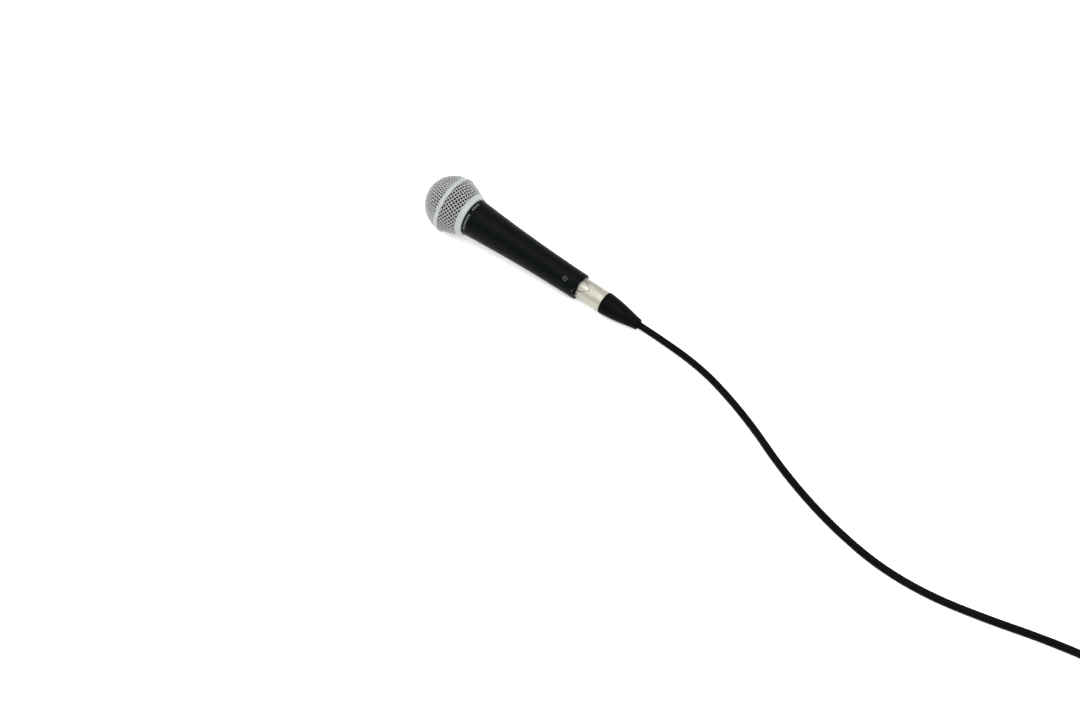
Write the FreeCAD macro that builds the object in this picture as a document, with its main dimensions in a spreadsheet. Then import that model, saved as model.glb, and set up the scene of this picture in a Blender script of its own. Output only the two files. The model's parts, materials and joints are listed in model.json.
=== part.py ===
import FreeCAD, Part
import math
import os
import re

import Sketcher
from FreeCAD import Placement, Rotation, Vector

# A handheld dynamic vocal microphone lying on a table, plugged into its cable. Millimetres, +Z up.
# The head points to -X and the cable leaves to +X. The origin is under the middle of the microphone
# with its connector, on the table.
#
# Two local frames are used. On the microphone, local Z is its axis, counted from the front of the
# dome towards the tail, and local X is the latch's side. On the far plug, local Z is counted from
# its mouth towards its boot.

SIZES = {
    # the ball
    "dome_radius": 26.0,
    "mesh_gauge": 1.0,
    "band_proud": 0.25,
    "band_width": 3.7,
    "band_wall": 1.25,
    "skirt_inset": 0.4,
    "skirt_lap": 0.2,
    "skirt_length": 14.5,
    "skirt_rise": 0.6,
    "foam_wall": 3.0,
    "foam_gap": 0.3,
    # the collar that screws onto the handle's neck
    "collar_flare": 3.0,
    "collar_lip": 1.2,
    "collar_height": 5.05,
    "neck_gap": 0.05,
    "gasket_height": 0.5,
    "gasket_inset": 0.1,
    # the handle
    "handle_length": 117.1,
    "handle_top_radius": 17.0,
    "handle_foot_radius": 11.7,
    "handle_hollow": 1.0,
    "handle_edge": 0.6,
    "neck_step": 1.7,
    "neck_height": 9.9,
    "neck_wall": 1.7,
    "bore_depth": 14.0,
    "groove_place": 2.6,
    "groove_width": 0.6,
    "groove_depth": 0.35,
    # the socket in the tail, and the sizes that every connector shares
    "socket_gap": 0.15,
    "socket_depth": 14.5,
    "socket_seat_step": 0.9,
    "socket_disc": 6.0,
    "pin_radius": 1.2,
    "pin_root_step": 0.2,
    "pin_circle": 3.95,
    "pin_reach": 11.5,
    "pin_tail": 4.0,
    "screw_radius": 1.25,
    "screw_inset": 0.4,
    "keyway_gap": 0.3,
    "keyway_room": 0.4,
    # the capsule
    "capsule_radius": 12.0,
    "capsule_wall": 1.0,
    "capsule_reach": 6.0,
    "capsule_seat": 4.0,
    "resonator_thickness": 1.5,
    "resonator_hole": 1.3,
    "resonator_circle": 7.5,
    "diaphragm_gap": 0.4,
    "diaphragm_gauge": 0.2,
    "diaphragm_depth": 3.0,
    "coil_radius": 5.35,
    "coil_wall": 0.6,
    "coil_reach": 2.6,
    "coil_gap": 0.45,
    "pole_thickness": 1.6,
    "magnet_inset": 0.3,
    "magnet_height": 5.0,
    "yoke_wall": 1.9,
    "board_inset": 1.5,
    "board_thickness": 1.2,
    "mount_lip": 2.0,
    "lead_radius": 0.5,
    # the cable's socket connector
    "seat_gap": 0.3,
    "nose_radius": 8.0,
    "nose_wall": 0.8,
    "nose_length": 13.8,
    "shell_radius": 9.5,
    "shell_wall": 1.2,
    "shell_length": 24.2,
    "shell_web": 7.7,
    "contact_wall": 0.65,
    "contact_gap": 0.05,
    "contact_inset": 1.0,
    "insert_step": 0.8,
    "clamp_length": 8.0,
    "clamp_slot": 1.2,
    "boot_proud": 0.45,
    "boot_lip": 1.5,
    "boot_length": 36.0,
    "boot_rise": 0.4,
    "boot_end_wall": 1.9,
    "boot_end_round": 1.2,
    "boot_spigot": 3.5,
    "core_radius": 0.6,
    "core_circle": 1.4,
    # the latch
    "latch_width": 4.0,
    "latch_bar": 1.9,
    "bar_drop": 0.1,
    "latch_bar_length": 10.5,
    "hook_length": 2.5,
    "hook_rise": 1.2,
    "tab_width": 9.5,
    "tab_length": 9.5,
    "tab_height": 0.3,
    "tab_nose": 0.55,
    "tab_lap": 0.1,
    "latch_travel": 1.2,
    "side_gap": 0.15,
    "spring_radius": 1.1,
    "spring_wire": 0.3,
    # the plug on the far end
    "plug_length": 42.0,
    "plug_window": 3.5,
    "plug_window_place": 6.0,
    # the cord
    "cord_radius": 3.0,
    "coil_columns": 5,
    "coil_layers": 4,
    "winding_radius": 34.4,
    "tie_thickness": 1.2,
    "tie_angle": 18.0,
    "tie_proud": 0.2,
    "tie_place": 150.0,
}

# Radii that follow from others
BAND_RADIUS = "dome_radius + band_proud"
COLLAR_TOP = "handle_top_radius + collar_flare"
COLLAR_FOOT = "handle_top_radius + collar_lip"
SKIRT_FOOT = COLLAR_TOP + " + skirt_lap"
NECK_RADIUS = "handle_top_radius - neck_step"
NECK_BORE = NECK_RADIUS + " - neck_wall"
COLLAR_BORE = NECK_RADIUS + " + neck_gap"
SOCKET_RADIUS = "nose_radius + socket_gap"
SEAT_RADIUS = SOCKET_RADIUS + " + socket_seat_step"
KEYWAY_TOP = "nose_radius + hook_rise + keyway_room"
KEYWAY_SIDE = "latch_width/2 + keyway_gap"
PIN_ROOT = "pin_radius - pin_root_step"
CAPSULE_BORE = "capsule_radius - capsule_wall"
POLE_RADIUS = "coil_radius - coil_gap"
YOKE_MOUTH = "coil_radius + coil_wall + coil_gap"
NOSE_BORE = "nose_radius - nose_wall"
SHELL_BORE = "shell_radius - shell_wall"
CONTACT_RADIUS = "pin_radius + contact_gap + contact_wall"
BOOT_RADIUS = "shell_radius + boot_proud"
BOOT_END_RADIUS = "cord_radius + boot_end_wall"

# Stations along the microphone's axis
CENTRE = "dome_radius"
BAND_FRONT = "dome_radius - band_width/2"
BAND_BACK = "dome_radius + band_width/2"
SKIRT_END = BAND_BACK + " + skirt_length"
COLLAR_END = SKIRT_END + " + collar_height"
SHOULDER = COLLAR_END + " + gasket_height"
NECK_TOP = SHOULDER + " - neck_height"
TAIL = SHOULDER + " + handle_length"
DISC_BACK = TAIL + " - socket_depth"
DISC_FRONT = DISC_BACK + " - socket_disc"
BODY_FRONT = TAIL + " + seat_gap"
WEB_END = BODY_FRONT + " + shell_web"
BODY_END = BODY_FRONT + " + shell_length"
BOOT_END = BODY_END + " + boot_length"
CLAMP_BACK = BODY_END + " - boot_spigot"
CLAMP_FRONT = CLAMP_BACK + " - clamp_length"
NOSE_FRONT = TAIL + " - nose_length"
CAPSULE_FRONT = "dome_radius - capsule_reach"
CAPSULE_BACK = NECK_TOP + " + capsule_seat"

# Pin 1, pin 2 and pin 3, as the angle from the latch's side
PIN_ANGLES = (-45, 45, 180)

# The microphone lies rolled over, so that its latch faces up and this far towards -Y.
ROLL = 27.0

doc = FreeCAD.newDocument("vocal_microphone")
sheet = doc.addObject("Spreadsheet::Sheet", "Sizes")
for row, (alias, value) in enumerate(SIZES.items(), start=1):
    sheet.set("A%d" % row, alias)
    sheet.set("B%d" % row, str(value))
    sheet.setAlias("B%d" % row, alias)
doc.recompute()

finished = []


# ---------------------------------------------------------------- helpers
def bound(expression):
    """The expression with each size named in the sheet."""
    return re.sub(r"[a-z][a-z_]+", lambda m: "Sizes." + m.group(0), expression)


def number(expression):
    """What the expression comes to now."""
    text = re.sub(r"[a-z][a-z_]+", lambda m: "(%r)" % float(SIZES[m.group(0)]), expression)
    return FreeCAD.Units.parseQuantity(text).Value


def bind(thing, **sizes):
    """Ties properties of a primitive to sizes in the sheet."""
    for prop, expression in sizes.items():
        thing.setExpression(prop, bound(expression))
    return thing


def finish(thing, label, frame, offset=None):
    """Gives a finished piece its name and its place."""
    thing.Label = label
    thing.Placement = frame.multiply(offset) if offset else frame
    finished.append(thing)
    return thing


def origin_plane(body, role):
    return next(f for f in body.Origin.OriginFeatures if f.Role == role)


def new_sketch(body, name, role):
    sketch = body.newObject("Sketcher::SketchObject", name)
    sketch.AttachmentSupport = (origin_plane(body, role), [""])
    sketch.MapMode = "FlatFace"
    return sketch


def hold(sketch, line, end, across, along):
    """Holds one end of a line or arc at (across, along), each an expression."""
    for kind, axis, expression in (("DistanceX", -2, across), ("DistanceY", -1, along)):
        if expression == "0":
            sketch.addConstraint(Sketcher.Constraint("PointOnObject", line, end, axis))
            continue
        size = Sketcher.Constraint(kind, -1, 1, line, end, number(expression))
        index = sketch.addConstraint(size)
        sketch.setExpression("Constraints[%d]" % index, bound(expression))


def outline(sketch, corners):
    """A closed outline. A corner is (across, along), or (across, along, rise) where an arc that
    stands that far outside its chord leads to the next corner."""
    first = sketch.GeometryCount
    places = [Vector(number(c[0]), number(c[1]), 0) for c in corners]
    # an arc runs anticlockwise, so some run back from the next corner to their own
    backwards = []
    for i, corner in enumerate(corners):
        start, end = places[i], places[(i + 1) % len(places)]
        if len(corner) == 2:
            sketch.addGeometry(Part.LineSegment(start, end))
            backwards.append(False)
            continue
        chord = end - start
        side = Vector(abs(chord.y), -chord.x * math.copysign(1, chord.y), 0).normalize()
        middle = (start + end) * 0.5 + side * number(corner[2])
        clockwise = (middle - start).cross(end - middle).z < 0
        ends = (end, start) if clockwise else (start, end)
        arc = sketch.addGeometry(Part.Arc(ends[0], middle, ends[1]))
        backwards.append(clockwise)
        following = corners[(i + 1) % len(corners)]
        across = "((%s) - (%s))^2" % (following[0], corner[0])
        along = "((%s) - (%s))^2" % (following[1], corner[1])
        rise = "abs(%s)" % bound(corner[2])
        radius = "(%s + %s)/(8*%s) + %s/2" % (bound(across), bound(along), rise, rise)
        index = sketch.addConstraint(Sketcher.Constraint("Radius", arc, sketch.Geometry[arc].Radius))
        sketch.setExpression("Constraints[%d]" % index, radius)
    for i, corner in enumerate(corners):
        previous = (i - 1) % len(corners)
        start = 2 if backwards[i] else 1
        end = 1 if backwards[previous] else 2
        link = Sketcher.Constraint("Coincident", first + previous, end, first + i, start)
        sketch.addConstraint(link)
        hold(sketch, first + i, start, corner[0], corner[1])


def turned(name, *outlines, angle=360.0):
    """A body turned about its own Z axis from outlines of (radius, station)."""
    body = doc.addObject("PartDesign::Body", name)
    sketch = new_sketch(body, name + "_profile", "XZ_Plane")
    for corners in outlines:
        outline(sketch, corners)
    turn = body.newObject("PartDesign::Revolution", name + "_turn")
    turn.Profile = sketch
    turn.ReferenceAxis = (sketch, ["V_Axis"])
    turn.Angle = angle
    turn.Midplane = angle < 360
    body.Tip = turn
    return body


def tube_outline(inner, outer, low, high):
    return [(inner, low), (outer, low), (outer, high), (inner, high)]


def solid_bar(name, radius, low, high):
    """A plain round bar between two stations, as a turned body."""
    return turned(name, tube_outline("0", radius, low, high))


def cylinder(name, radius, low, high, at=(0, 0)):
    """A plain cylinder along Z between two stations, to cut with or to cut from."""
    round_bar = doc.addObject("Part::Cylinder", name)
    bind(round_bar, Radius=radius, Height="(%s) - (%s)" % (high, low))
    round_bar.setExpression("Placement.Base.z", bound(low))
    round_bar.Placement.Base.x, round_bar.Placement.Base.y = at
    return round_bar


def block(name, x, y, z):
    """A box between pairs of expressions along X, Y and Z."""
    box = doc.addObject("Part::Box", name)
    for side, start, (low, high) in zip(("Length", "Width", "Height"), "xyz", (x, y, z)):
        box.setExpression(side, bound("(%s) - (%s)" % (high, low)))
        box.setExpression("Placement.Base." + start, bound(low))
    return box


def joined(name, *pieces):
    fuse = doc.addObject("Part::MultiFuse", name)
    fuse.Shapes = list(pieces)
    return fuse


def less(name, base, *tools):
    """The base with the tools cut out of it."""
    cut = doc.addObject("Part::Cut", name)
    cut.Base = base
    cut.Tool = tools[0] if len(tools) == 1 else joined(name + "_tools", *tools)
    return cut


def on_circle(radius, degrees):
    return (radius * math.cos(math.radians(degrees)), radius * math.sin(math.radians(degrees)))


def bent_path(points):
    """Straight runs joined by tangent arcs, as large as the runs allow, and the arcs' radii."""
    runs = [b - a for a, b in zip(points, points[1:])]
    edges, radii, start = [], [], points[0]
    for i in range(1, len(points) - 1):
        before, after = Vector(runs[i - 1]).normalize(), Vector(runs[i]).normalize()
        half = before.getAngle(after) / 2
        reach = 0.45 * min(runs[i - 1].Length, runs[i].Length)
        radius = reach / math.tan(half)
        first = points[i] - before * reach
        last = points[i] + after * reach
        inward = (after - before).normalize()
        middle = points[i] + inward * (radius / math.cos(half) - radius)
        edges.append(Part.LineSegment(start, first).toShape())
        edges.append(Part.Arc(first, middle, last).toShape())
        radii.append(radius)
        start = last
    edges.append(Part.LineSegment(start, points[-1]).toShape())
    return Part.Wire(edges), radii


def tube(name, points, radius):
    """A round tube along a bent path, with its length and its arcs' radii."""
    path, radii = bent_path(points)
    ring = Part.Circle(points[0], points[1] - points[0], radius).toShape()
    shape = path.makePipeShell([Part.Wire([ring])], True, False)
    section = math.pi * radius**2
    if abs(shape.Volume / (section * path.Length) - 1) > 0.01:
        raise ValueError("%s: its volume isn't its section times its length" % name)
    piece = doc.addObject("Part::Feature", name)
    piece.Shape = shape
    return piece, path.Length, radii


# ---------------------------------------------------------------- how it lies
# The band's rear edge and the boot's widest ring touch the table, which tilts the axis.
band_place = number(BAND_BACK)
boot_place = number(BODY_END + " + boot_lip")
drop = number(BAND_RADIUS) - number(BOOT_RADIUS)
tilt = math.atan(drop / (boot_place - band_place))
along = Vector(math.cos(tilt), 0, -math.sin(tilt))
upward = Vector(math.sin(tilt), 0, math.cos(tilt))
boot_end = number(BOOT_END)
boot_tip = number(BOOT_END_RADIUS + " - boot_end_round")
nearest = SIZES["dome_radius"] * (along.x - 1)
furthest = boot_end * along.x + boot_tip * upward.x
front = Vector(
    -(nearest + furthest) / 2,
    0,
    band_place * math.sin(tilt) + number(BAND_RADIUS) * math.cos(tilt),
)
sideways = Vector(0, -1, 0)
roll = math.radians(ROLL)
latch_side = upward * math.cos(roll) + sideways * math.sin(roll)
mic = Placement(front, Rotation(latch_side, along.cross(latch_side), along, "ZXY"))


# ---------------------------------------------------------------- the ball
dome_skin = doc.addObject("Part::Sphere", "dome_outside")
bind(dome_skin, Radius="dome_radius").setExpression("Placement.Base.z", bound(CENTRE))
dome_hollow = doc.addObject("Part::Sphere", "dome_inside")
bind(dome_hollow, Radius="dome_radius - mesh_gauge")
dome_hollow.setExpression("Placement.Base.z", bound(CENTRE))
dome = doc.addObject("Part::Common", "dome")
dome.Base = less("dome_shell", dome_skin, dome_hollow)
dome.Tool = cylinder("dome_keep", "2*dome_radius", "0", BAND_FRONT)
finish(dome, "grille_dome", mic)

# The foam lines the dome and the skirt. A quarter circle stands this much of its radius
# outside its chord.
QUARTER_RISE = 1 - math.sqrt(0.5)
FOAM_OUTER = "(dome_radius - mesh_gauge - foam_gap)"
FOAM_INNER = "(dome_radius - mesh_gauge - foam_gap - foam_wall)"
FOAM_FOOT = SKIRT_FOOT + " - mesh_gauge - 2*foam_gap"
foam = turned(
    "foam",
    [
        ("0", "dome_radius - " + FOAM_OUTER, "%r*%s" % (QUARTER_RISE, FOAM_OUTER)),
        (FOAM_OUTER, CENTRE),
        (FOAM_FOOT, SKIRT_END + " - foam_gap"),
        (FOAM_FOOT + " - foam_wall", SKIRT_END + " - foam_gap"),
        (FOAM_INNER, CENTRE, "%r*%s" % (QUARTER_RISE, FOAM_INNER)),
        ("0", "dome_radius - " + FOAM_INNER),
    ],
)
finish(foam, "foam_liner", mic)

band = turned(
    "band",
    [
        (BAND_RADIUS + " - band_wall", BAND_FRONT),
        (BAND_RADIUS + " - 0.4", BAND_FRONT),
        (BAND_RADIUS, BAND_FRONT + " + 0.5"),
        (BAND_RADIUS, BAND_BACK),
        (BAND_RADIUS + " - band_wall", BAND_BACK),
    ],
)
finish(band, "grille_band", mic)

skirt = turned(
    "skirt",
    [
        ("dome_radius - skirt_inset - mesh_gauge", BAND_BACK),
        ("dome_radius - skirt_inset", BAND_BACK, "skirt_rise"),
        (SKIRT_FOOT, SKIRT_END),
        (SKIRT_FOOT + " - mesh_gauge", SKIRT_END, "skirt_rise"),
    ],
)
finish(skirt, "grille_skirt", mic)

collar = turned(
    "collar",
    [
        (COLLAR_BORE, SKIRT_END),
        (COLLAR_TOP, SKIRT_END),
        (COLLAR_FOOT, COLLAR_END + " - 0.5"),
        (COLLAR_FOOT + " - 0.5", COLLAR_END),
        (COLLAR_BORE, COLLAR_END),
    ],
)
finish(collar, "grille_collar", mic)
gasket_ring = tube_outline(COLLAR_BORE, "handle_top_radius - gasket_inset", COLLAR_END, SHOULDER)
gasket = turned("gasket", gasket_ring)
finish(gasket, "collar_gasket", mic)

# ---------------------------------------------------------------- the handle
GROOVE = TAIL + " - groove_place"
BORE_START = SHOULDER + " + bore_depth - neck_height"
turned_handle = turned(
    "handle_turned",
    [
        (NECK_BORE, NECK_TOP),
        (NECK_RADIUS, NECK_TOP),
        (NECK_RADIUS, SHOULDER),
        ("handle_top_radius - 0.3", SHOULDER),
        ("handle_top_radius", SHOULDER + " + 0.5", "0 - handle_hollow"),
        ("handle_foot_radius", GROOVE + " - groove_width"),
        ("handle_foot_radius - groove_depth", GROOVE + " - groove_width"),
        ("handle_foot_radius - groove_depth", GROOVE),
        ("handle_foot_radius", GROOVE),
        ("handle_foot_radius", TAIL + " - handle_edge"),
        ("handle_foot_radius - handle_edge", TAIL),
        (SOCKET_RADIUS, TAIL),
        (SOCKET_RADIUS, DISC_BACK),
        (SEAT_RADIUS, DISC_BACK),
        (SEAT_RADIUS, DISC_FRONT + " - pin_tail"),
        (NECK_BORE, BORE_START),
    ],
)
keyway = block(
    "keyway",
    ("0", KEYWAY_TOP),
    ("0 - (%s)" % KEYWAY_SIDE, KEYWAY_SIDE),
    (DISC_BACK, TAIL + " + 1"),
)
SCREW_PLACE = DISC_BACK + " - socket_disc/2"


def radial_bar(name, radius, low, high, place):
    """A cylinder across the axis, on the side away from the latch."""
    bar = doc.addObject("Part::Cylinder", name)
    bind(bar, Radius=radius, Height="(%s) - (%s)" % (high, low))
    bar.Placement = Placement(Vector(0, 0, 0), Rotation(Vector(0, 1, 0), -90))
    bar.setExpression("Placement.Base.x", bound("0 - (%s)" % low))
    bar.setExpression("Placement.Base.z", bound(place))
    return bar


screw_hole = radial_bar("screw_hole", "screw_radius", "0", "2*handle_foot_radius", SCREW_PLACE)
socket_way = cylinder("socket_way", SEAT_RADIUS, DISC_FRONT, DISC_BACK)
screw_tool = less("screw_tool", screw_hole, socket_way)
finish(less("handle_cut", turned_handle, keyway, screw_tool), "handle", mic)

SCREW_LOW = SEAT_RADIUS
SCREW_HIGH = "handle_foot_radius - screw_inset"
screw = radial_bar("screw", "screw_radius", SCREW_LOW, SCREW_HIGH, SCREW_PLACE)
screw_slot = block(
    "screw_slot",
    ("0 - (%s) - 0.1" % SCREW_HIGH, "0 - (%s) + 0.7" % SCREW_HIGH),
    ("0 - screw_radius", "screw_radius"),
    (SCREW_PLACE + " - 0.25", SCREW_PLACE + " + 0.25"),
)
finish(less("screw_slotted", screw, screw_slot), "insert_screw", mic)

# ---------------------------------------------------------------- pins, sockets and cores
PIN_TIP = "pin_radius*0.4"


def pin_with_tip(name, seat, reach, root, point_up):
    """A round pin with a blunt cone at its tip, and a thinner root that its insert holds."""
    way = 1 if point_up else -1
    tip = "(%s) + %d*(%s)" % (seat, way, reach)
    corners = [
        ("0", root),
        (PIN_ROOT, root),
        (PIN_ROOT, seat),
        ("pin_radius", seat),
        ("pin_radius", "(%s) - %d*%s" % (tip, way, PIN_TIP)),
        ("pin_radius - " + PIN_TIP, tip),
        ("0", tip),
    ]
    return turned(name, corners)


def at_pin(degrees, radius=None):
    x, y = on_circle(SIZES["pin_circle"] if radius is None else radius, degrees)
    return Placement(Vector(x, y, 0), Rotation())


def drilled_disc(name, radius, low, high, hole):
    """An insulator with a hole for each of its three pins."""
    disc = cylinder(name + "_blank", radius, low, high)
    holes = [
        cylinder("%s_hole_%d" % (name, i), hole, low, high, on_circle(SIZES["pin_circle"], a))
        for i, a in enumerate(PIN_ANGLES, start=1)
    ]
    return less(name, disc, *holes)


def core_wires(name, frame, low, straight, high):
    """Three cores, from the backs of the contacts to the end of the jacket."""
    low, straight, high = number(low), number(straight), number(high)
    for i, degrees in enumerate(PIN_ANGLES, start=1):
        wide = on_circle(SIZES["pin_circle"], degrees)
        narrow = on_circle(SIZES["core_circle"], degrees)
        points = [
            Vector(wide[0], wide[1], low),
            Vector(wide[0], wide[1], straight),
            Vector(narrow[0], narrow[1], high - 1),
            Vector(narrow[0], narrow[1], high),
        ]
        wire = tube("%s_%d_wire" % (name, i), points, SIZES["core_radius"])[0]
        finish(wire, "%s_%d" % (name, i), frame)


socket_disc = drilled_disc("socket_disc", SEAT_RADIUS, DISC_FRONT, DISC_BACK, PIN_ROOT)
finish(socket_disc, "socket_insert", mic)
for number_of_pin, degrees in enumerate(PIN_ANGLES, start=1):
    pin = pin_with_tip(
        "mic_pin_%d" % number_of_pin,
        DISC_BACK,
        "pin_reach",
        DISC_FRONT + " - pin_tail",
        point_up=True,
    )
    finish(pin, "socket_pin_%d" % number_of_pin, mic, at_pin(degrees))

# ---------------------------------------------------------------- the capsule
RESONATOR_FRONT = CAPSULE_FRONT + " - resonator_thickness"
housing = turned(
    "housing",
    [
        (CAPSULE_BORE, CAPSULE_FRONT),
        ("capsule_radius", CAPSULE_FRONT),
        ("capsule_radius", CAPSULE_BACK),
        ("coil_radius", CAPSULE_BACK),
        ("coil_radius", CAPSULE_BACK + " - capsule_wall"),
        (CAPSULE_BORE, CAPSULE_BACK + " - capsule_wall"),
    ],
)
finish(housing, "capsule_housing", mic)

resonator = turned("resonator", tube_outline("0", "capsule_radius", RESONATOR_FRONT, CAPSULE_FRONT))
doc.recompute()
hole_sketch = new_sketch(resonator, "resonator_hole_sketch", "XY_Plane")
hole_middle = Vector(SIZES["resonator_circle"], 0, 0)
hole_sketch.addGeometry(Part.Circle(hole_middle, Vector(0, 0, 1), SIZES["resonator_hole"]))
hole_sketch.addConstraint(Sketcher.Constraint("PointOnObject", 0, 3, -1))
hole_sketch.addConstraint(Sketcher.Constraint("DistanceX", -1, 1, 0, 3, SIZES["resonator_circle"]))
hole_sketch.addConstraint(Sketcher.Constraint("Radius", 0, SIZES["resonator_hole"]))
hole_sketch.setExpression("Constraints[1]", bound("resonator_circle"))
hole_sketch.setExpression("Constraints[2]", bound("resonator_hole"))
hole = resonator.newObject("PartDesign::Pocket", "resonator_hole")
hole.Profile = hole_sketch
hole.Type = "ThroughAll"
hole.Midplane = True
ring_of_holes = resonator.newObject("PartDesign::PolarPattern", "resonator_holes")
ring_of_holes.Originals = [hole]
ring_of_holes.Axis = (hole_sketch, ["N_Axis"])
ring_of_holes.Angle = 360
ring_of_holes.Occurrences = 8
resonator.Tip = ring_of_holes
finish(resonator, "resonator_plate", mic)

DIAPHRAGM = CAPSULE_FRONT + " + diaphragm_depth"
DIAPHRAGM_BACK = DIAPHRAGM + " + diaphragm_gauge"
diaphragm = solid_bar("diaphragm_disc", CAPSULE_BORE + " - diaphragm_gap", DIAPHRAGM, DIAPHRAGM_BACK)
finish(diaphragm, "diaphragm", mic)
COIL_OUTSIDE = "coil_radius + coil_wall"
COIL_BACK = DIAPHRAGM_BACK + " + coil_reach"
voice_coil = turned("coil", tube_outline("coil_radius", COIL_OUTSIDE, DIAPHRAGM_BACK, COIL_BACK))
finish(voice_coil, "voice_coil", mic)

POLE_FRONT = DIAPHRAGM_BACK + " + 1.2"
POLE_BACK = POLE_FRONT + " + pole_thickness"
MAGNET_BACK = POLE_BACK + " + magnet_height"
YOKE_BACK = MAGNET_BACK + " + yoke_wall"
finish(solid_bar("pole", POLE_RADIUS, POLE_FRONT, POLE_BACK), "pole_plate", mic)
finish(solid_bar("magnet_bar", POLE_RADIUS + " - magnet_inset", POLE_BACK, MAGNET_BACK), "magnet", mic)
yoke = turned(
    "yoke",
    [
        (YOKE_MOUTH, POLE_FRONT),
        (CAPSULE_BORE, POLE_FRONT),
        (CAPSULE_BORE, YOKE_BACK),
        ("0", YOKE_BACK),
        ("0", MAGNET_BACK),
        (CAPSULE_BORE + " - yoke_wall", MAGNET_BACK),
        (CAPSULE_BORE + " - yoke_wall", POLE_BACK),
        (YOKE_MOUTH, POLE_BACK),
    ],
)
finish(yoke, "yoke_cup", mic)
BOARD_BACK = CAPSULE_BACK + " + board_thickness"
finish(solid_bar("board", "capsule_radius - board_inset", CAPSULE_BACK, BOARD_BACK), "terminal_board", mic)
mount = turned(
    "mount",
    [
        ("capsule_radius", NECK_TOP + " - mount_lip"),
        (NECK_RADIUS, NECK_TOP + " - mount_lip"),
        (NECK_RADIUS, NECK_TOP),
        (NECK_BORE, NECK_TOP),
        (NECK_BORE, CAPSULE_BACK),
        ("capsule_radius", CAPSULE_BACK),
    ],
)
finish(mount, "shock_mount", mic)

# Two leads run down the hollow handle, from the capsule's board to pins 2 and 3.
lead_start, lead_end = number(BOARD_BACK), number(DISC_FRONT + " - pin_tail")
for label, side, degrees in (("lead_hot", 1, PIN_ANGLES[1]), ("lead_cold", -1, PIN_ANGLES[2])):
    x, y = on_circle(SIZES["pin_circle"], degrees)
    length = lead_end - lead_start
    points = [
        Vector(0, 4.0 * side, lead_start),
        Vector(0, 4.0 * side, lead_start + 0.15 * length),
        Vector(3.0 * side, 6.0 * side, lead_start + 0.4 * length),
        Vector(-2.0 * side, 3.0 * side, lead_start + 0.7 * length),
        Vector(x, y, lead_start + 0.88 * length),
        Vector(x, y, lead_end),
    ]
    finish(tube(label + "_wire", points, SIZES["lead_radius"])[0], label, mic)

# ---------------------------------------------------------------- the cable's socket connector
turned_shell = turned(
    "shell_turned",
    [
        (NOSE_BORE, NOSE_FRONT),
        ("nose_radius - 0.4", NOSE_FRONT),
        ("nose_radius", NOSE_FRONT + " + 0.6"),
        ("nose_radius", BODY_FRONT),
        ("shell_radius - 0.3", BODY_FRONT),
        ("shell_radius", BODY_FRONT + " + 0.3"),
        ("shell_radius", BODY_END),
        (SHELL_BORE, BODY_END),
        (SHELL_BORE, WEB_END),
        (NOSE_BORE, WEB_END),
    ],
)
LATCH_FRONT = BODY_FRONT + " - latch_bar_length"
TAB_END = BODY_FRONT + " + 0.3 + tab_length"
BAR_TOP = "nose_radius - bar_drop"
BAR_LOW = BAR_TOP + " - latch_bar"


def tongue(name, low, high, front, gap):
    """The latch's tab, or with a gap the opening for it: a block with its two far corners round."""
    blank = block(
        name + "_blank",
        (low, high),
        ("0 - tab_width/2 - (%s)" % gap, "tab_width/2 + (%s)" % gap),
        (front, "%s + (%s)" % (TAB_END, gap)),
    )
    doc.recompute()
    radius = number("tab_width/2 - tab_nose + (%s)" % gap)
    far = number("%s + (%s)" % (TAB_END, gap))
    rounded = doc.addObject("Part::Fillet", name)
    rounded.Base = blank
    rounded.Edges = [
        (i, radius, radius)
        for i, edge in enumerate(blank.Shape.Edges, start=1)
        if abs(edge.BoundBox.ZMin - far) < 0.001 and edge.BoundBox.XLength > 0.001
    ]
    return rounded


bar_way = block(
    "bar_way",
    ("0", "2*shell_radius"),
    ("0 - latch_width/2 - side_gap", "latch_width/2 + side_gap"),
    (LATCH_FRONT + " - side_gap", BODY_FRONT + " + 1"),
)
tab_way = tongue("tab_way", "0", "2*shell_radius", BODY_FRONT + " - 0.001", "side_gap")
finish(less("shell_cut", turned_shell, bar_way, tab_way), "connector_shell", mic)

INSERT_FRONT = NOSE_FRONT + " + 0.4"
insert_blank = turned(
    "insert_turned",
    [
        ("0", INSERT_FRONT),
        (NOSE_BORE, INSERT_FRONT),
        (NOSE_BORE, BODY_FRONT),
        (NOSE_BORE + " - insert_step", BODY_FRONT),
        (NOSE_BORE + " - insert_step", WEB_END),
        ("0", WEB_END),
    ],
)
bar_room = block(
    "bar_room",
    (BAR_LOW + " - latch_travel - 0.15", "2*nose_radius"),
    ("0 - latch_width/2 - side_gap", "latch_width/2 + side_gap"),
    (LATCH_FRONT + " - side_gap", WEB_END + " + 1"),
)
SPRING_PLACE = BODY_FRONT + " - latch_bar_length/2"
SPRING_LOW = BAR_LOW + " - latch_travel - 0.9"
contact_ways = [
    cylinder("contact_way_%d" % i, CONTACT_RADIUS, NOSE_FRONT, WEB_END, on_circle(SIZES["pin_circle"], a))
    for i, a in enumerate(PIN_ANGLES, start=1)
]
spring_well = doc.addObject("Part::Cylinder", "spring_well")
bind(spring_well, Radius="spring_radius*0.75", Height="nose_radius")
spring_well.Placement = Placement(Vector(0, 0, 0), Rotation(Vector(0, 1, 0), 90))
spring_well.setExpression("Placement.Base.x", bound(SPRING_LOW))
spring_well.setExpression("Placement.Base.z", bound(SPRING_PLACE))
insert = less("insert_cut", insert_blank, bar_room, spring_well, *contact_ways)
finish(insert, "connector_insert", mic)

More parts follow.
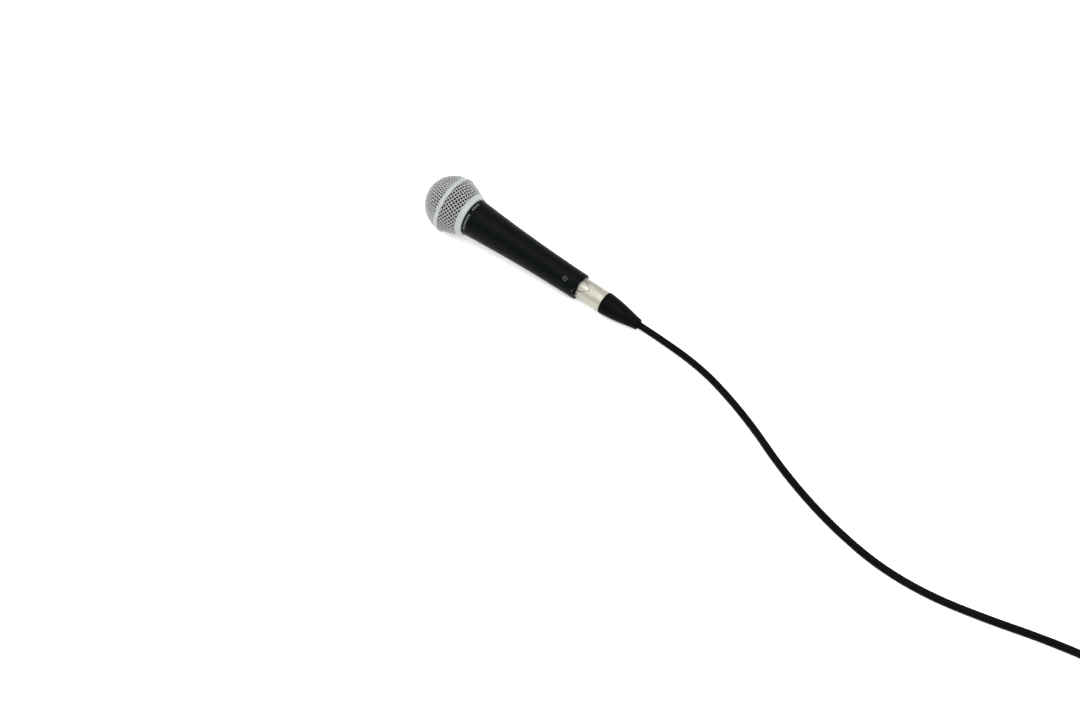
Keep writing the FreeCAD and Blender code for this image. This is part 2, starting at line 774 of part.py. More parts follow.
CONTACT_FRONT = INSERT_FRONT + " + 0.6"
CONTACT_BACK = WEB_END + " - contact_inset"
for i, degrees in enumerate(PIN_ANGLES, start=1):
    contact = turned(
        "contact_%d" % i,
        tube_outline("pin_radius + contact_gap", CONTACT_RADIUS, CONTACT_FRONT, CONTACT_BACK),
    )
    finish(contact, "connector_contact_%d" % i, mic, at_pin(degrees))


def clamp_and_boot(name, frame, clamp_label, boot_label, jacket_label, front_end, body_end):
    """What holds the cord in a connector: the slit clamp, the boot and the jacket's end."""
    back = body_end + " - boot_spigot"
    end = body_end + " + boot_length"
    ring = turned(name + "_clamp_ring", tube_outline("cord_radius", SHELL_BORE, front_end, back))
    slits = [
        block(
            "%s_slit_%s" % (name, letter),
            ("0 - shell_radius", "shell_radius") if letter == "a" else ("0 - clamp_slot/2", "clamp_slot/2"),
            ("0 - clamp_slot/2", "clamp_slot/2") if letter == "a" else ("0 - shell_radius", "shell_radius"),
            (front_end + " - 1", back + " - 2.5"),
        )
        for letter in "ab"
    ]
    finish(less(name + "_clamp", ring, *slits), clamp_label, frame)
    boot = turned(
        name + "_boot",
        [
            ("cord_radius", back),
            (SHELL_BORE, back),
            (SHELL_BORE, body_end),
            (BOOT_RADIUS + " - 0.4", body_end),
            (BOOT_RADIUS, body_end + " + boot_lip", "boot_rise"),
            (BOOT_END_RADIUS, end + " - boot_end_round"),
            (BOOT_END_RADIUS + " - boot_end_round", end),
            ("cord_radius", end),
        ],
    )
    finish(boot, boot_label, frame)
    finish(solid_bar(name + "_jacket", "cord_radius", front_end, end), jacket_label, frame)


clamp_and_boot(
    "near", mic, "connector_clamp", "connector_boot", "cord_root", CLAMP_FRONT, BODY_END
)
core_wires("core_wire", mic, CONTACT_BACK + " - 3", WEB_END + " + 0.5", CLAMP_FRONT)

# ---------------------------------------------------------------- the latch and its spring
bar = block(
    "latch_rail",
    (BAR_LOW, BAR_TOP),
    ("0 - latch_width/2", "latch_width/2"),
    (LATCH_FRONT, TAB_END + " - 1"),
)
hook = block(
    "latch_hook",
    ("nose_radius - 0.5", "nose_radius + hook_rise"),
    ("0 - latch_width/2", "latch_width/2"),
    (LATCH_FRONT + " + 1", LATCH_FRONT + " + 1 + hook_length"),
)
TAB_TOP = "shell_radius + tab_height"
tab = tongue("latch_tab", BAR_TOP + " - tab_lap", TAB_TOP, BODY_FRONT + " + 0.3", "0")
finish(joined("latch_block", bar, hook, tab), "latch", mic)

spring_points = number(SPRING_LOW), number(BAR_LOW)
turns = 3
coil_height = spring_points[1] - spring_points[0] - SIZES["spring_wire"]
spring_mean = SIZES["spring_radius"] * 0.75 - SIZES["spring_wire"] / 2 - 0.05
helix = Part.makeHelix(coil_height / turns, coil_height, spring_mean)
wire_ring = Part.Wire(
    [Part.Circle(Vector(spring_mean, 0, 0), Vector(0, 1, 0), SIZES["spring_wire"] / 2).toShape()]
)
spring = doc.addObject("Part::Feature", "spring")
spring.Shape = Part.Wire(helix.Edges).makePipeShell([wire_ring], True, True)
spring_seat = Placement(
    Vector(spring_points[0] + SIZES["spring_wire"] / 2, 0, number(SPRING_PLACE)),
    Rotation(Vector(0, 1, 0), 90),
)
finish(spring, "latch_spring", mic, spring_seat)

# ---------------------------------------------------------------- the cord's route
# Hand-chosen points on the table. The first two follow from the boot: the cord leaves along the
# microphone's axis and comes down to lie on the table.
exit_point = front + along * boot_end
rest = SIZES["cord_radius"]
landing = exit_point + along * ((exit_point.z - rest) / math.sin(tilt))
ROUTE = [
    (182.0, -6.0),
    (214.0, -17.0),
    (245.0, -30.5),
    (276.0, -47.0),
    (311.0, -62.0),
    (347.0, -73.5),
    (385.0, -81.0),
    (425.0, -80.5),
    (466.0, -72.5),
    (508.0, -61.5),
    (550.0, -54.2),
    (590.0, -46.3),
]
route = [exit_point, landing] + [Vector(x, y, rest) for x, y in ROUTE]
cord, cord_length, cord_radii = tube("cord_tube", route, rest)
finish(cord, "cord", Placement())

# The rest is wound in whole turns beside and on each other, and the last leaves from the top.
diameter = 2 * rest
columns, layers = int(SIZES["coil_columns"]), int(SIZES["coil_layers"])
outer_turn = SIZES["winding_radius"] + (columns - 1) * diameter / 2
inner_turn = SIZES["winding_radius"] - (columns - 1) * diameter / 2
last_run = (route[-1] - route[-2]).normalize()
coil_centre = route[-1] + Vector(-last_run.y, last_run.x, 0) * outer_turn
coil_centre.z = 0
coil_place = Placement(coil_centre, Rotation(Vector(0, 0, 1), SIZES["tie_place"]))
ring_corner = "cord_radius*0.58"
INNER = "winding_radius - coil_columns*cord_radius"
OUTER = "winding_radius + coil_columns*cord_radius"
TOP = "2*cord_radius*coil_layers"
coil_blank = turned(
    "coil_blank",
    [
        (INNER, ring_corner),
        (INNER + " + " + ring_corner, "0"),
        (OUTER + " - " + ring_corner, "0"),
        (OUTER, ring_corner),
        (OUTER, TOP + " - " + ring_corner),
        (OUTER + " - " + ring_corner, TOP),
        (INNER + " + " + ring_corner, TOP),
        (INNER, TOP + " - " + ring_corner),
    ],
)


def strap(name):
    """The hook-and-loop tie, a closed band round the turns."""
    band_of_tie = turned(
        name,
        [
            (INNER + " - tie_proud", "0"),
            (OUTER + " + tie_proud", "0"),
            (OUTER + " + tie_proud", TOP + " + tie_proud"),
            (INNER + " - tie_proud", TOP + " + tie_proud"),
        ],
        [
            (INNER + " - tie_proud + tie_thickness", "tie_thickness"),
            (OUTER + " + tie_proud - tie_thickness", "tie_thickness"),
            (OUTER + " + tie_proud - tie_thickness", TOP + " + tie_proud - tie_thickness"),
            (INNER + " - tie_proud + tie_thickness", TOP + " + tie_proud - tie_thickness"),
        ],
        angle=SIZES["tie_angle"],
    )
    return band_of_tie


finish(less("coil_cut", coil_blank, strap("tie_room")), "cord_coil", coil_place)
finish(strap("tie"), "coil_tie", coil_place)

# The last stretch comes off the top of the coil and down to the plug, which lies beside it.
plug_height = number(BOOT_RADIUS)
leaving = coil_centre + Vector(outer_turn, 0, diameter * layers - rest)
TAIL_ROUTE = [
    (630.0, 22.0, 17.5),
    (627.0, 45.0, 11.5),
    (615.0, 63.5, 8.5),
    (594.5, 72.0, plug_height),
    (571.5, 72.0, plug_height),
]
tail_points = [leaving] + [Vector(*p) for p in TAIL_ROUTE]
cord_tail, tail_length, tail_radii = tube("tail_tube", tail_points, rest)
finish(cord_tail, "cord_tail", Placement())

# ---------------------------------------------------------------- the plug on the far end
PLUG_END = "plug_length"
PLUG_SEAT = "socket_depth"
PLUG_DISC_BACK = "socket_depth + socket_disc"
PLUG_CLAMP_FRONT = "plug_length - boot_spigot - clamp_length"
mouth = tail_points[-1] - Vector(number("plug_length + boot_length"), 0, 0)
plug = Placement(mouth, Rotation(Vector(0, 0, 1), Vector(0, -1, 0), Vector(1, 0, 0), "ZXY"))
plug_turned = turned(
    "plug_turned",
    [
        (SOCKET_RADIUS, "0"),
        ("shell_radius - 0.3", "0"),
        ("shell_radius", "0.3"),
        ("shell_radius", PLUG_END),
        (SHELL_BORE, PLUG_END),
        (SHELL_BORE, PLUG_SEAT),
        (SOCKET_RADIUS, PLUG_SEAT),
    ],
)
window = block(
    "plug_window_tool",
    ("0", "2*shell_radius"),
    ("0 - (%s)" % KEYWAY_SIDE, KEYWAY_SIDE),
    ("plug_window_place", "plug_window_place + plug_window"),
)
finish(less("plug_cut", plug_turned, window), "plug_shell", plug)
plug_disc = drilled_disc("plug_disc", SHELL_BORE, PLUG_SEAT, PLUG_DISC_BACK, PIN_ROOT)
finish(plug_disc, "plug_insert", plug)
for i, degrees in enumerate(PIN_ANGLES, start=1):
    pin = pin_with_tip(
        "far_pin_%d" % i,
        PLUG_SEAT,
        "pin_reach",
        PLUG_DISC_BACK + " + pin_tail",
        point_up=False,
    )
    finish(pin, "plug_pin_%d" % i, plug, at_pin(degrees))
clamp_and_boot(
    "far", plug, "plug_clamp", "plug_boot", "plug_cord_end", PLUG_CLAMP_FRONT, PLUG_END
)
PLUG_CUP = PLUG_DISC_BACK + " + pin_tail"
core_wires("plug_core", plug, PLUG_CUP, PLUG_CUP + " + 1.5", PLUG_CLAMP_FRONT)

# ---------------------------------------------------------------- checks and export
doc.recompute()
for thing in doc.Objects:
    if "Invalid" in thing.State or "Error" in thing.State:
        raise ValueError("%s failed: %s" % (thing.Name, thing.State))
labels = [piece.Label for piece in finished]
if len(set(labels)) != len(labels):
    raise ValueError("two pieces share a name")
for piece in finished:
    shape = piece.Shape
    if shape.isNull() or not shape.isValid() or shape.Volume <= 0:
        raise ValueError("%s has no valid solid" % piece.Label)
    if len(shape.Solids) != 1:
        raise ValueError("%s is %d solids" % (piece.Label, len(shape.Solids)))

swept = math.radians(-math.degrees(math.atan2(route[-1].y - coil_centre.y, route[-1].x - coil_centre.x)))
wound = (columns * layers * 2 * math.pi * SIZES["winding_radius"]) + swept * outer_turn
total = cord_length + wound + tail_length
print("tilt %.3f degrees, exit at %s" % (math.degrees(tilt), tuple(round(v, 2) for v in exit_point)))
print("cord arcs' radii:", [round(r) for r in cord_radii])
print("tail arcs' radii:", [round(r) for r in tail_radii])
print("cord %.0f + coil %.0f + tail %.0f = %.0f mm" % (cord_length, wound, tail_length, total))
print("coil centre %.2f, %.2f" % (coil_centre.x, coil_centre.y))

os.makedirs("parts", exist_ok=True)
for piece in finished:
    piece.Shape.exportStep(os.path.join("parts", piece.Label + ".step"))
print(len(finished), "pieces")
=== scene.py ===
import json
import math

import bpy
from mathutils import Matrix, Vector


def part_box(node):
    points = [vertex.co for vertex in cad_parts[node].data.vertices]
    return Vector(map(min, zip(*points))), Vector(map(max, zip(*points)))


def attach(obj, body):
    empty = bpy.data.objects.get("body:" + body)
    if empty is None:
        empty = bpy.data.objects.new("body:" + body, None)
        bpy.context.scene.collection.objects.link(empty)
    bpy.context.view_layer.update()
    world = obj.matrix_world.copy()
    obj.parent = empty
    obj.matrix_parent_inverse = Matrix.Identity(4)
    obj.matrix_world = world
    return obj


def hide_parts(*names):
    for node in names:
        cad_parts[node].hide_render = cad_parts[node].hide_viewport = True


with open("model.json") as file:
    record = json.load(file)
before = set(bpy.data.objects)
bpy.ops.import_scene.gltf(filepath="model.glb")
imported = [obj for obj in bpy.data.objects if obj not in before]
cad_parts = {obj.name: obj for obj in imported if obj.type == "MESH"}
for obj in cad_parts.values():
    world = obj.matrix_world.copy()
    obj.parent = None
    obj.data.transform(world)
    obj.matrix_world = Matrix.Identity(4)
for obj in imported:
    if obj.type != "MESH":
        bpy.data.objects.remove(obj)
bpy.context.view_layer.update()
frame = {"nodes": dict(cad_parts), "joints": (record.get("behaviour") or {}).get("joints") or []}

# ------------------------------------------------------------------------------------------------
# The table and the lamps.
# A white table top that glows a little, painted light that washes out shadows, and runs on behind
# the microphone, under three wide soft lamps in a pale room, so that nothing throws a hard shadow.


def deselect():
    """Leaves object mode with nothing selected."""
    if bpy.context.object and bpy.context.object.mode != "OBJECT":
        bpy.ops.object.mode_set(mode="OBJECT")
    bpy.ops.object.select_all(action="DESELECT")


def new_material(name, colour, roughness, metallic=0.0):
    """A material with its shader's plain values set, and its node tree to add to."""
    material = bpy.data.materials.new(name)
    material.use_nodes = True
    tree = material.node_tree
    shader = tree.nodes["Principled BSDF"]
    shader.inputs["Base Color"].default_value = (*colour, 1)
    shader.inputs["Roughness"].default_value = roughness
    shader.inputs["Metallic"].default_value = metallic
    material.diffuse_color = (*colour, 1)
    return material, tree, shader


def add_node(tree, kind, **values):
    """A node with its inputs and settings set by name; an input may be a socket to link from."""
    node = tree.nodes.new(kind)
    for key, value in values.items():
        if key in node.inputs.keys():
            if isinstance(value, bpy.types.NodeSocket):
                tree.links.new(value, node.inputs[key])
            else:
                node.inputs[key].default_value = value
        else:
            setattr(node, key, value)
    return node


def object_coordinates(tree, turn=None):
    """The piece's own coordinates in metres, turned so that a pattern follows its axis."""
    source = tree.nodes.new("ShaderNodeTexCoord").outputs["Object"]
    if turn is None:
        return source
    mapping = add_node(tree, "ShaderNodeMapping", Vector=source, vector_type="TEXTURE")
    mapping.inputs["Location"].default_value = turn.to_translation()
    mapping.inputs["Rotation"].default_value = turn.to_euler("XYZ")
    return mapping.outputs["Vector"]


def noise(tree, where, scale, detail=3.0, roughness=0.5):
    """Smooth noise with this many grains in a metre."""
    node = add_node(tree, "ShaderNodeTexNoise", Vector=where, Scale=scale, Detail=detail)
    node.inputs["Roughness"].default_value = roughness
    return node.outputs["Fac"]


def between(tree, amount, low, high, start=0.0, end=1.0):
    """Maps amount from start-end to low-high."""
    node = tree.nodes.new("ShaderNodeMapRange")
    tree.links.new(amount, node.inputs["Value"])
    for key, value in (("From Min", start), ("From Max", end), ("To Min", low), ("To Max", high)):
        node.inputs[key].default_value = value
    return node.outputs["Result"]


def mix_colours(tree, amount, first, second):
    """A mix of two colours, each a tuple or a socket."""
    node = tree.nodes.new("ShaderNodeMix")
    node.data_type = "RGBA"
    tree.links.new(amount, node.inputs["Factor"])
    for key, colour in (("A", first), ("B", second)):
        socket = next(s for s in node.inputs if s.name == key and s.type == "RGBA")
        if isinstance(colour, tuple):
            socket.default_value = (*colour, 1)
        else:
            tree.links.new(colour, socket)
    return next(s for s in node.outputs if s.type == "RGBA")


def combine(tree, operation, first, second=0):
    """A sum, product or other working of one or two amounts, each a number or a socket."""
    node = tree.nodes.new("ShaderNodeMath")
    node.operation = operation
    for socket, value in zip(node.inputs, (first, second)):
        if isinstance(value, (int, float)):
            socket.default_value = value
        else:
            tree.links.new(value, socket)
    return node.outputs[0]


def raise_grain(tree, shader, height, depth):
    """Bump of this depth in metres."""
    bump = add_node(tree, "ShaderNodeBump", Height=height, Distance=depth, Strength=1.0)
    tree.links.new(bump.outputs["Normal"], shader.inputs["Normal"])


TABLE_SPAN = 14.0
TABLE_GLOW = 0.3
ROOM_LIGHT = 0.85
deselect()
bpy.ops.mesh.primitive_plane_add(size=TABLE_SPAN, location=(0, 0, 0))
table = bpy.context.object
table.name = "table_top"
material, tree, shader = new_material("white table", (0.95, 0.95, 0.95), 0.75)
shader.inputs["Specular IOR Level"].default_value = 0.15
# the table glows a little: painted light that washes out the shadows on it
shader.inputs["Emission Color"].default_value = (1, 1, 1, 1)
shader.inputs["Emission Strength"].default_value = TABLE_GLOW
table.data.materials.append(material)

room = bpy.data.worlds.new("pale room")
room.use_nodes = True
background = room.node_tree.nodes["Background"]
background.inputs["Color"].default_value = (0.98, 0.99, 1.0, 1)
background.inputs["Strength"].default_value = ROOM_LIGHT
bpy.context.scene.world = room
bpy.context.scene.view_settings.view_transform = "Standard"


def soft_lamp(name, place, aim, width, height, power):
    """A wide soft lamp at a place, turned to its aim."""
    deselect()
    bpy.ops.object.light_add(type="AREA", location=place)
    lamp = bpy.context.object
    lamp.name = name
    lamp.data.shape = "RECTANGLE"
    lamp.data.size, lamp.data.size_y = width, height
    lamp.data.energy = power
    lamp.rotation_euler = (Vector(aim) - Vector(place)).to_track_quat("-Z", "Y").to_euler()


LAMP_AIM = (0.05, 0.0, 0.0)
soft_lamp("lamp_overhead", (0.5, -0.5, 2.2), LAMP_AIM, 2.4, 2.4, 62.0)
soft_lamp("lamp_left", (-1.9, -0.6, 1.3), LAMP_AIM, 1.2, 1.2, 14.0)
soft_lamp("lamp_behind", (0.3, 2.0, 1.1), LAMP_AIM, 1.4, 0.5, 9.0)

# ------------------------------------------------------------------------------------------------
# The camera.
# It looks down across the table from the cable's side, with the ball at the left.
CAMERA_PLACE = Vector((0.5232, -0.6706, 0.9263))
CAMERA_LOOK = Vector((-0.3833, 0.4990, -0.7772))
CAMERA_LENS = 48.33
SENSOR_WIDTH = 36.0
NEAREST, FURTHEST = 0.01, 50.0
deselect()
bpy.ops.object.camera_add(location=CAMERA_PLACE)
camera = bpy.context.object
camera.rotation_euler = CAMERA_LOOK.to_track_quat("-Z", "Y").to_euler()
camera.data.lens = CAMERA_LENS
camera.data.sensor_width = SENSOR_WIDTH
camera.data.clip_start, camera.data.clip_end = NEAREST, FURTHEST
bpy.context.scene.camera = camera

# ------------------------------------------------------------------------------------------------
# The cord.
# A six-millimetre round microphone cable with a matte black jacket. It leaves the boot along the
# microphone's axis, comes down to the table and wanders off, and the rest is wound into a neat
# coil of twenty turns that a strap holds.
CORD_RADIUS = 0.003
CORD_EXIT = (0.112072, 0.0, 0.006471)
ON_TABLE = CORD_RADIUS
CORD_ROUTE = [
    CORD_EXIT,
    (0.1466, 0.0, ON_TABLE),
    (0.1820, -0.0060, ON_TABLE),
    (0.2140, -0.0170, ON_TABLE),
    (0.2450, -0.0305, ON_TABLE),
    (0.2760, -0.0470, ON_TABLE),
    (0.3110, -0.0620, ON_TABLE),
    (0.3470, -0.0735, ON_TABLE),
    (0.3850, -0.0810, ON_TABLE),
    (0.4250, -0.0805, ON_TABLE),
    (0.4660, -0.0725, ON_TABLE),
    (0.5080, -0.0615, ON_TABLE),
    (0.5500, -0.0542, ON_TABLE),
]
COIL_CENTRE = Vector((0.58101, -0.00078, 0))
COIL_COLUMNS, COIL_LAYERS = 5, 4
MIDDLE_TURN = 0.0344      # radius of the middle column
POINTS_PER_TURN = 16
COIL_START = -78.8        # in degrees round the coil's centre, as are the strap's place and reach
STRAP_PLACE = 150.0
STRAP_REACH = 32.0
COIL_WAIST = 0.86         # how far the strap squeezes the bundle
CROSS_OVER = 0.72         # the share of a turn after which the cord steps to the next one
SNUG = 0.99
# a smooth line cuts the corners between its points, so they stand a little further out
STEP_OUTWARDS = 1 / math.cos(math.pi / POINTS_PER_TURN) ** 2 * SNUG


def coil_points():
    """The coil's turns: out and in again, layer on layer, each a cord's width from the last."""
    outermost = MIDDLE_TURN + (COIL_COLUMNS - 1) * CORD_RADIUS
    innermost = MIDDLE_TURN - (COIL_COLUMNS - 1) * CORD_RADIUS
    stops = []
    for layer in range(COIL_LAYERS):
        columns = [outermost - 2 * CORD_RADIUS * c for c in range(COIL_COLUMNS)]
        if layer % 2:
            columns = [innermost + 2 * CORD_RADIUS * c for c in range(COIL_COLUMNS)]
        stops += [(radius, CORD_RADIUS * (2 * layer + 1)) for radius in columns]
    points = []
    turns = len(stops)
    last = (turns * 360 - COIL_START) / 360
    count = round(last * POINTS_PER_TURN)
    for k in range(count + 1):
        travelled = last * k / count
        turn = min(int(travelled), turns - 1)
        into = travelled - turn
        radius, height = stops[turn]
        if turn + 1 < turns and into > CROSS_OVER:
            share = (into - CROSS_OVER) / (1 - CROSS_OVER)
            share = share * share * (3 - 2 * share)
            radius += (stops[turn + 1][0] - radius) * share
            height += (stops[turn + 1][1] - height) * share
        angle = COIL_START + travelled * 360
        away = abs((angle - STRAP_PLACE + 180) % 360 - 180)
        if away < STRAP_REACH:
            pull = (1 - COIL_WAIST) * math.cos(math.radians(90 * away / STRAP_REACH)) ** 2
            middle_height = CORD_RADIUS * COIL_LAYERS
            radius = MIDDLE_TURN + (radius - MIDDLE_TURN) * (1 - pull)
            height = middle_height + (height - middle_height) * (1 - pull)
        turned_to = math.radians(angle)
        reach = radius * STEP_OUTWARDS
        place = COIL_CENTRE + Vector((math.cos(turned_to), math.sin(turned_to), 0)) * reach
        points.append((place.x, place.y, height))
    return points


TAIL_ROUTE = [
    (0.6300, 0.0220, 0.0175),
    (0.6270, 0.0450, 0.0115),
    (0.6150, 0.0635, 0.0085),
    (0.5945, 0.0720, 0.00995),
    (0.5715, 0.0720, 0.00995),
]


def cord_line(name, points, radius):
    """A smooth cord through these control points."""
    curve = bpy.data.curves.new(name, "CURVE")
    curve.dimensions = "3D"
    curve.bevel_depth = radius
    curve.bevel_resolution = 4
    curve.resolution_u = 5
    curve.use_fill_caps = True
    spline = curve.splines.new("NURBS")
    spline.points.add(len(points) - 1)
    for point, place in zip(spline.points, points):
        point.co = (*place, 1)
    spline.order_u = 3
    spline.use_endpoint_u = True
    piece = bpy.data.objects.new(name, curve)
    bpy.context.scene.collection.objects.link(piece)
    return piece


cord = cord_line("cord_line", CORD_ROUTE + coil_points() + TAIL_ROUTE, CORD_RADIUS)
jacket, tree, shader = new_material("cable jacket", (0.0012, 0.0013, 0.0012), 0.55)
where = object_coordinates(tree)
shader.inputs["Specular IOR Level"].default_value = 0.035
grain = noise(tree, where, 2600, detail=2.0)
smudges = noise(tree, where, 60, detail=2.0)
tree.links.new(between(tree, smudges, 0.42, 0.62, 0.35, 0.65), shader.inputs["Roughness"])
raise_grain(tree, shader, grain, 0.00006)
cord.data.materials.append(jacket)
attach(cord, "cable")
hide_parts("cord", "cord_coil", "cord_tail")

# ------------------------------------------------------------------------------------------------
# The handle.
# A tapered tube of die-cast alloy, painted satin black all over. Printed ticks run round its top,
# and the paint is chipped down to the metal here and there round the tail, where it knocks
# against things. Its shape is right as it comes, so it only gets its paint.
turn_joint = next(j for j in frame["joints"] if j["name"] == "grille_turn")
press_joint = next(j for j in frame["joints"] if j["name"] == "latch_press")
TURN_STATION = 0.045
MIC_AXIS = -Vector(turn_joint["axis"]).normalized()
LATCH_SIDE = -Vector(press_joint["axis"]).normalized()
mic_place = Matrix((LATCH_SIDE, MIC_AXIS.cross(LATCH_SIDE), MIC_AXIS)).transposed().to_4x4()
mic_place.translation = Vector(turn_joint["pos_m"]) - MIC_AXIS * TURN_STATION


def parts_of(tree, vector):
    """The x, y and z of a vector."""
    node = add_node(tree, "ShaderNodeSeparateXYZ", Vector=vector)
    return node.outputs["X"], node.outputs["Y"], node.outputs["Z"]


def window(tree, amount, low, high, soft):
    """1 where amount is between low and high, falling to 0 over a soft edge."""
    rise = between(tree, amount, 0, 1, low - soft, low + soft)
    fall = between(tree, amount, 1, 0, high - soft, high + soft)
    return combine(tree, "MULTIPLY", rise, fall)


def hypotenuse(tree, first, second):
    """How long a line is that goes this far one way and this far across it."""
    squares = [combine(tree, "MULTIPLY", side, side) for side in (first, second)]
    return combine(tree, "SQRT", combine(tree, "ADD", *squares))


def dress(material, *names):
    """Puts a material on CAD pieces whose shape stays."""
    for name in names:
        mesh = frame["nodes"][name].data
        for slot in range(max(1, len(mesh.materials))):
            if slot < len(mesh.materials):
                mesh.materials[slot] = material
            else:
                mesh.materials.append(material)


HANDLE_TOP, HANDLE_TAIL = 0.0479, 0.1650
PAINT = (0.0012, 0.0022, 0.0015)
PRINT = (0.13, 0.14, 0.135)
BARE_METAL = (0.33, 0.33, 0.32)
paint_black, tree, shader = new_material("satin black paint", PAINT, 0.42)
shader.inputs["Specular IOR Level"].default_value = 0.04
where = object_coordinates(tree, mic_place)
across, sideways, station = parts_of(tree, where)
angle = combine(tree, "ARCTAN2", sideways, across)
# the printed ticks
TICK_PLACE = (HANDLE_TOP + 0.0014, HANDLE_TOP + 0.0032)
TICKS_IN_A_TURN = 52
TICK_SHARE = (0.2, 0.72)
TICK_ROWS = ((8, 63), (-38, -8))     # from and to, in degrees round the handle
ticks_passed = combine(tree, "MULTIPLY", angle, TICKS_IN_A_TURN / (2 * math.pi))
ticks = window(tree, combine(tree, "FRACT", ticks_passed), *TICK_SHARE, 0.06)
rows = combine(tree, "MAXIMUM", *(
    window(tree, angle, math.radians(start), math.radians(end), 0.004)
    for start, end in TICK_ROWS))
tick_belt = window(tree, station, *TICK_PLACE, 0.0001)
printed_rows = combine(tree, "MULTIPLY", rows, tick_belt)
print_mask = combine(tree, "MULTIPLY", ticks, printed_rows)
# the printed ring near the tail
RING_PLACE, RING_TURN = HANDLE_TAIL - 0.0125, math.radians(14)
RING_RADIUS, RING_LINE = 0.0019, 0.0002
DOT_EDGE = (0.00045, 0.0006)
RADIUS_AT_RING = 0.0125
RING_FADED = 0.7
round_way = combine(tree, "MULTIPLY", combine(tree, "SUBTRACT", angle, RING_TURN), RADIUS_AT_RING)
along_way = combine(tree, "SUBTRACT", station, RING_PLACE)
from_middle = hypotenuse(tree, round_way, along_way)
ring = window(tree, from_middle, RING_RADIUS - RING_LINE, RING_RADIUS + RING_LINE, 0.00006)
dot = between(tree, from_middle, 1, 0, *DOT_EDGE)
faded_mark = combine(tree, "MULTIPLY", combine(tree, "MAXIMUM", ring, dot), RING_FADED)
print_mask = combine(tree, "MAXIMUM", print_mask, faded_mark)
# the chips round the tail
CHIPPED_FROM, CHIPPED_TO = HANDLE_TAIL - 0.016, HANDLE_TAIL - 0.001
chip_noise = noise(tree, where, 420, detail=4.0, roughness=0.6)
near_tail = between(tree, station, 0.0, 0.16, CHIPPED_FROM, CHIPPED_TO)
chips = between(tree, combine(tree, "ADD", chip_noise, near_tail), 0, 1, 0.80, 0.82)
printed = mix_colours(tree, print_mask, PAINT, PRINT)
tree.links.new(mix_colours(tree, chips, printed, BARE_METAL), shader.inputs["Base Color"])
rubbed = noise(tree, where, 45, detail=3.0)
satin = between(tree, rubbed, 0.36, 0.5, 0.3, 0.7)
polish = combine(tree, "MULTIPLY", satin, between(tree, chips, 1.0, 0.8))
tree.links.new(polish, shader.inputs["Roughness"])
orange_peel = noise(tree, where, 1500, detail=2.0)
surface = combine(tree, "SUBTRACT", combine(tree, "MULTIPLY", orange_peel, 0.4), chips)
raise_grain(tree, shader, surface, 0.00005)
dress(paint_black, "handle")

# ------------------------------------------------------------------------------------------------
# The socket in the tail.
# A black plastic disc that carries three silver-plated pins, pushed into the handle and held by
# one slotted screw from the side.


GRAINS_IN_A_BLOTCH = 12
COLOUR_SPREAD = 0.15


def plain_finish(name, colour, roughness, metallic, grain, depth):
    """A finish with fine grain, and a colour and polish that vary a little over the piece."""
    material, tree, shader = new_material(name, colour, roughness, metallic)
    where = object_coordinates(tree)
    blotches = noise(tree, where, grain / GRAINS_IN_A_BLOTCH, detail=2.0)
    darker = tuple(c * (1 - COLOUR_SPREAD) for c in colour)
    lighter = tuple(min(1.0, c * (1 + COLOUR_SPREAD)) for c in colour)
    tree.links.new(mix_colours(tree, blotches, darker, lighter), shader.inputs["Base Color"])
    polish = between(tree, blotches, roughness * 0.85, min(1.0, roughness * 1.2), 0.3, 0.7)
    tree.links.new(polish, shader.inputs["Roughness"])
    raise_grain(tree, shader, noise(tree, where, grain, detail=3.0), depth)
    return material


insert_black = plain_finish("insert plastic", (0.012, 0.012, 0.013), 0.5, 0.0, 2500, 0.00003)
silver = plain_finish("silver-plated pin", (0.78, 0.76, 0.70), 0.22, 1.0, 3000, 0.000008)
gold = plain_finish("gold-plated contact", (0.83, 0.62, 0.27), 0.25, 1.0, 3000, 0.000008)
screw_steel = plain_finish("blackened screw", (0.10, 0.10, 0.10), 0.4, 1.0, 2500, 0.00002)
dress(insert_black, "socket_insert", "connector_insert", "plug_insert")
dress(silver, *("%s_pin_%d" % (end, i) for end in ("socket", "plug") for i in (1, 2, 3)))
dress(gold, *("connector_contact_%d" % i for i in (1, 2, 3)))
dress(screw_steel, "insert_screw")

# ------------------------------------------------------------------------------------------------
# The capsule and its leads.
# A moving-coil capsule in a rubber mount: a steel cup with its magnet and pole plate, a film
# diaphragm with its copper coil, a plastic resonator plate in front and a board with two leads.
dress(plain_finish("capsule steel", (0.48, 0.48, 0.50), 0.32, 1.0, 1800, 0.00001),
      "capsule_housing", "yoke_cup", "pole_plate")
dress(plain_finish("resonator plastic", (0.02, 0.02, 0.02), 0.45, 0.0, 1800, 0.00003),
      "resonator_plate")
dress(plain_finish("plated magnet", (0.55, 0.55, 0.57), 0.25, 1.0, 2200, 0.000008), "magnet")
dress(plain_finish("phenolic board", (0.26, 0.16, 0.06), 0.5, 0.0, 900, 0.00003), "terminal_board")
dress(plain_finish("mount rubber", (0.015, 0.015, 0.015), 0.7, 0.0, 1600, 0.00005), "shock_mount")
dress(plain_finish("diaphragm film", (0.62, 0.55, 0.38), 0.2, 0.0, 700, 0.00001), "diaphragm")
dress(plain_finish("copper winding", (0.74, 0.33, 0.17), 0.35, 1.0, 5200, 0.00004), "voice_coil")
red_insulation = plain_finish("red insulation", (0.48, 0.02, 0.015), 0.4, 0.0, 1500, 0.00002)
dress(red_insulation, "lead_hot", "core_wire_2", "plug_core_2")
dress(plain_finish("black insulation", (0.02, 0.02, 0.02), 0.4, 0.0, 1500, 0.00002), "lead_cold")
dress(plain_finish("white insulation", (0.72, 0.71, 0.68), 0.4, 0.0, 1500, 0.00002),
      "core_wire_3", "plug_core_3")
dress(plain_finish("twisted screen", (0.70, 0.40, 0.24), 0.35, 1.0, 4200, 0.0001),
      "core_wire_1", "plug_core_1")

